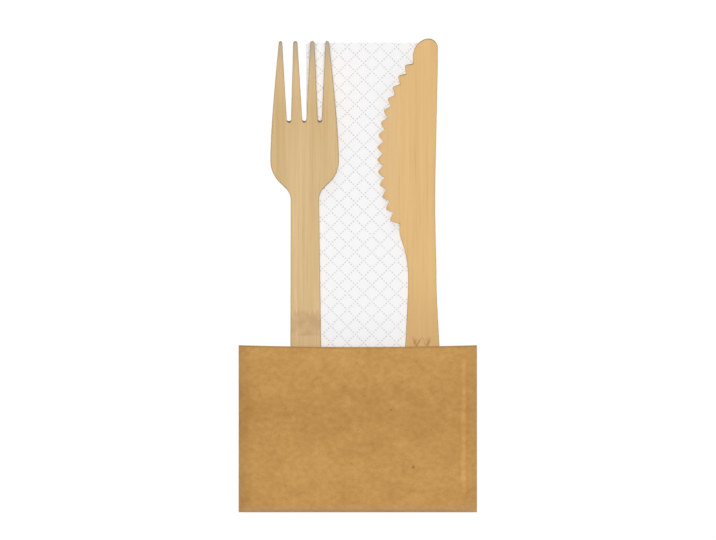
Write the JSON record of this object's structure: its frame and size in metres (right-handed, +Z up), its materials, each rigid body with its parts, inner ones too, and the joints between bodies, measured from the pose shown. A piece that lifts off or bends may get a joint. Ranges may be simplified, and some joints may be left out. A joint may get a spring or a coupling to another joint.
{
  "type": "bamboo cutlery set",
  "caption": "Disposable bamboo fork and serrated bamboo knife with a folded paper napkin, tucked into a flat kraft paper sleeve that is open at the top.",
  "frame": {"origin": "on the table under the middle of the whole set", "axes": "+X across the sleeve from the fork to the knife, +Y from the sleeve's foot to the tips of the cutlery, +Z up from the table out of the sleeve's front"},
  "size_m": [0.087, 0.173, 0.0175],
  "materials": {
    "kraft_paper": "uncoated brown kraft paper, matte, with fine fibres",
    "napkin_tissue": "white tissue with a fine dotted diamond emboss",
    "fork_bamboo": "sanded bamboo, satin, with fine grain along the strip",
    "knife_bamboo": "sanded bamboo, satin, with fine grain along the strip"
  },
  "bodies": {
    "root": {"sleeve": "kraft_paper", "napkin": "napkin_tissue", "fork": "fork_bamboo", "knife": "knife_bamboo"}
  },
  "joints": []
}
